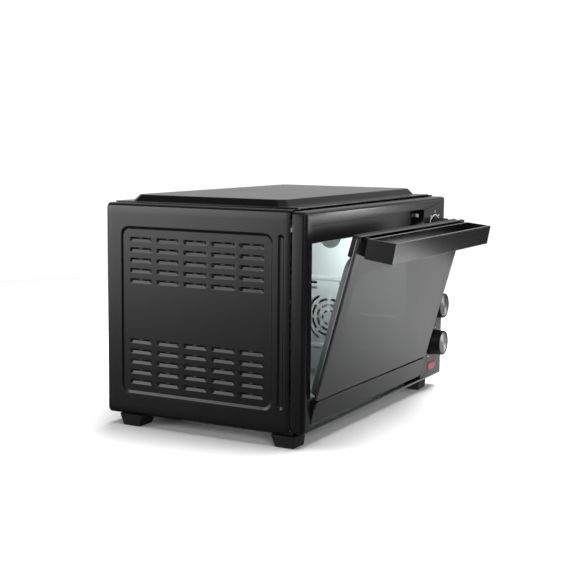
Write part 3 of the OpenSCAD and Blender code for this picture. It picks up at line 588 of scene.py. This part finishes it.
def make_stage():
    """A pale floor that reflections skip, and the card they see in its place."""
    paint = material("floor_paint", (0.86, 0.86, 0.86), 0.6, grain=300, bump=0.02, tint=0.004, patch=2,
                     Specular_IOR_Level=0.2)
    rim = arc(0.1, 0.15, 1.5, 0, 355, 71)
    card = [(-0.245, -1.1), (1.7, -1.1), (1.7, 0.1), (-0.245, 0.1)]
    for name, outline, drop, finish in (("floor", rim, 0.0002, paint), ("card", card, 0.0006, make_reflector())):
        mesh = bpy.data.meshes.new(name)
        mesh.from_pydata([(x, y, cad_box[0].z - drop) for x, y in outline], [], [list(range(len(outline)))])
        mesh.materials.append(finish)
        slab = bpy.data.objects.new(name, mesh)
        SCENE.collection.objects.link(slab)
        slab.visible_glossy = name == "card"
        if name == "card":
            slab.visible_camera = slab.visible_diffuse = slab.visible_shadow = slab.visible_transmission = False
    SCENE.view_settings.view_transform = "Standard"
    make_world()


SEEN_WHITE = 1.06  # strength of the white that the camera sees behind the object


def make_world():
    """White behind the object; what the object reflects is a studio, bright at the right and dark at the left."""
    world = bpy.data.worlds.new("studio")
    SCENE.world = world
    world.use_nodes = True
    tree = world.node_tree
    back = tree.nodes["Background"]
    back.inputs["Color"].default_value = (1, 1, 1, 1)
    x, y, z = coordinates(tree, "Generated")
    right = product(tree, ramp(tree, x, -0.35, 0.45, 0.02, 0.58), ramp(tree, z, -0.24, -0.06, 0.10, 1.0),
                    ramp(tree, y, -0.47, -0.36, 1.6, 1.0), ramp(tree, y, -0.30, 0.10, 0.5, 1.0))
    left = product(tree, ramp(tree, x, -0.62, -0.45, 1.0, 0.0), ramp(tree, y, 0.36, 0.56, 0.0, 1.0),
                   ramp(tree, z, -0.17, -0.02, 0.15, 5.2), ramp(tree, z, 0.52, 0.66, 1.0, 0.0))
    path = tree.nodes.new("ShaderNodeLightPath")
    mix = tree.nodes.new("ShaderNodeMix")
    tree.links.new(path.outputs["Is Camera Ray"], mix.inputs["Factor"])
    tree.links.new(compute(tree, "ADD", right, left), mix.inputs["A"])
    mix.inputs["B"].default_value = SEEN_WHITE
    tree.links.new(mix.outputs["Result"], back.inputs["Strength"])


def area_light(name, place, target, size, power, colour=(1, 1, 1), size_y=None):
    data = bpy.data.lights.new(name, "AREA")
    data.shape = "RECTANGLE"
    data.size, data.size_y = size, size_y or size
    data.energy, data.color = power, colour
    light = bpy.data.objects.new(name, data)
    SCENE.collection.objects.link(light)
    light.location = place
    light.rotation_mode = "QUATERNION"
    light.rotation_quaternion = (Vector(target) - Vector(place)).to_track_quat("-Z", "Y")
    light.visible_camera = False
    return light


def make_lights():
    overhead = area_light("overhead", (0.30, -0.15, 1.6), (0.2, 0.0, 0), 1.3, 78)
    overhead.visible_glossy = False
    area_light("right_front", (0.95, -0.69, 0.38), (-0.15, -0.1, 0.29), 0.20, 1.5, size_y=0.26)
    area_light("front_left", (-1.7, -1.4, 0.75), (0.1, 0, 0.15), 0.7, 20)
    glow = area_light("cavity", at(-80, 80, 245), at(135, 110, 225), 0.08, 0.21, colour=(0.93, 1.0, 0.985))
    glow.data.spread = math.radians(80)


# ---------------------------------------------------------------- build
make_camera()
make_materials()
dress_nodes()
for side_name, side in (("side_panel_left", -1), ("side_panel_right", 1)):
    side_panel(side_name, side)
for name, width, segments in (
        ("front_frame", 0.0008, 2), ("top_cover", 0.0012, 3), ("feet", 0.0008, 3), ("door_glass", 0.0005, 2),
        ("door_tray", 0.0007, 3), ("door_rail", 0.0006, 2), ("door_strip", 0.0007, 2), ("handle", 0.0006, 3),
        ("handle_standoffs", 0.0005, 2)):
    skin(name, width, segments)
for dial, z in zip(DIALS, KNOB_Z):
    make_knob(dial, z)
make_pilot_lens()
make_lamp_lens()
glass_border()
tray_edge()
make_stage()
make_lights()
